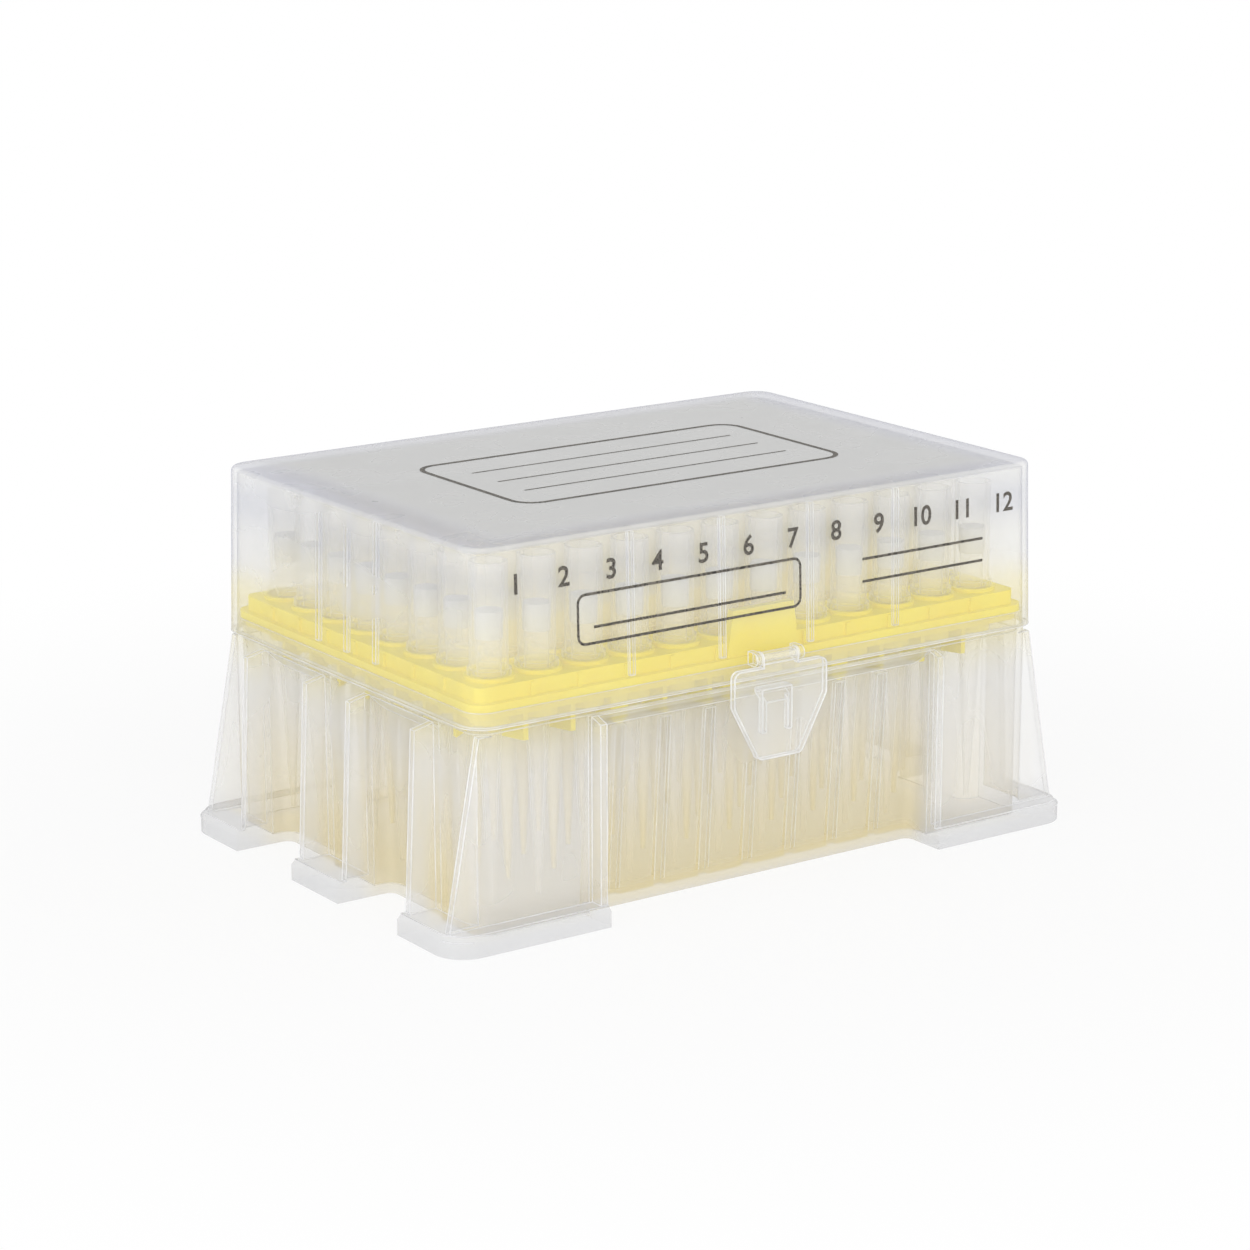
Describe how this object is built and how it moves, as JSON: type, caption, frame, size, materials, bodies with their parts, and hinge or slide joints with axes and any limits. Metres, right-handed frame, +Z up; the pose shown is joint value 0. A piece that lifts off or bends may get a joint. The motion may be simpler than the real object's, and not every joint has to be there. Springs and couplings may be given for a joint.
{
  "type": "pipette tip rack",
  "caption": "Hinged translucent rack on flanged legs with a latch, a perforated deck and upright filtered pipette tips in a grid.",
  "frame": {"origin": "centre of the footprint, on the surface the feet stand on", "axes": "+X along the long side, -Y towards the latch, +Y towards the hinge, +Z up"},
  "size_m": [0.1278, 0.0854, 0.0644],
  "materials": {
    "translucent_shell": "satin translucent",
    "yellow_deck": "satin",
    "translucent_tip": "smooth translucent",
    "white_filter": "porous matte"
  },
  "bodies": {
    "box": {"base": "translucent_shell", "tip_deck": "yellow_deck", "tips_column_01": "translucent_tip", "tips_column_02": "translucent_tip", "tips_column_03": "translucent_tip", "tips_column_04": "translucent_tip", "tips_column_05": "translucent_tip", "tips_column_06": "translucent_tip", "tips_column_07": "translucent_tip", "tips_column_08": "translucent_tip", "tips_column_09": "translucent_tip", "tips_column_10": "translucent_tip", "tips_column_11": "translucent_tip", "tips_column_12": "translucent_tip", "filters_column_01": "white_filter", "filters_column_02": "white_filter", "filters_column_03": "white_filter", "filters_column_04": "white_filter", "filters_column_05": "white_filter", "filters_column_06": "white_filter", "filters_column_07": "white_filter", "filters_column_08": "white_filter", "filters_column_09": "white_filter", "filters_column_10": "white_filter", "filters_column_11": "white_filter", "filters_column_12": "white_filter"},
    "lid": {"lid": "translucent_shell"},
    "latch": {"latch": "translucent_shell"}
  },
  "joints": [
    {"name": "lid_hinge", "type": "hinge", "parent": "box", "child": "lid", "pos_m": [0, 0.0409, 0.0357], "axis": [-1, 0, 0], "range_deg": [0, 110]},
    {"name": "latch_hinge", "type": "hinge", "parent": "lid", "child": "latch", "pos_m": [0, -0.0413, 0.0394], "axis": [-1, 0, 0], "range_deg": [0, 120]}
  ]
}
